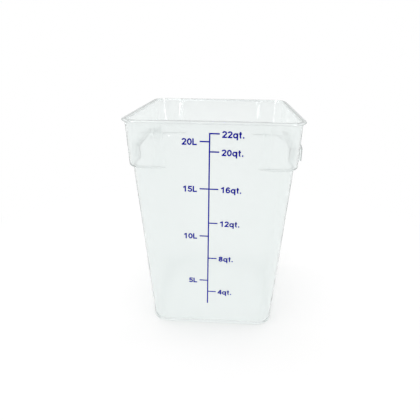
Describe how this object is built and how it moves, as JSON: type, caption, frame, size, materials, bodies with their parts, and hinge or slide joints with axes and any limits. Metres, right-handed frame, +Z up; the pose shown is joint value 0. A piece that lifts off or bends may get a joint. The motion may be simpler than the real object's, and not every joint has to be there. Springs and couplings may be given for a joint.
{
  "type": "dough proofing container",
  "caption": "Tall square clear plastic container with drafted walls, stepped corner pads, an open lipped mouth, a handle on two sides and a printed volume scale on the front.",
  "frame": {"origin": "middle of the base, on the surface that the container stands on", "axes": "+Z up to the mouth, -Y towards the printed front, +X to the right with a handle at each end of X"},
  "size_m": [0.3108, 0.2858, 0.4],
  "materials": {
    "clear_plastic": "clear polycarbonate, polished inside and out",
    "scale_ink": "screen-printed ink, satin"
  },
  "bodies": {
    "root": {"container": "clear_plastic", "scale_line": "scale_ink", "quart_ticks": "scale_ink", "litre_ticks": "scale_ink"}
  },
  "joints": []
}
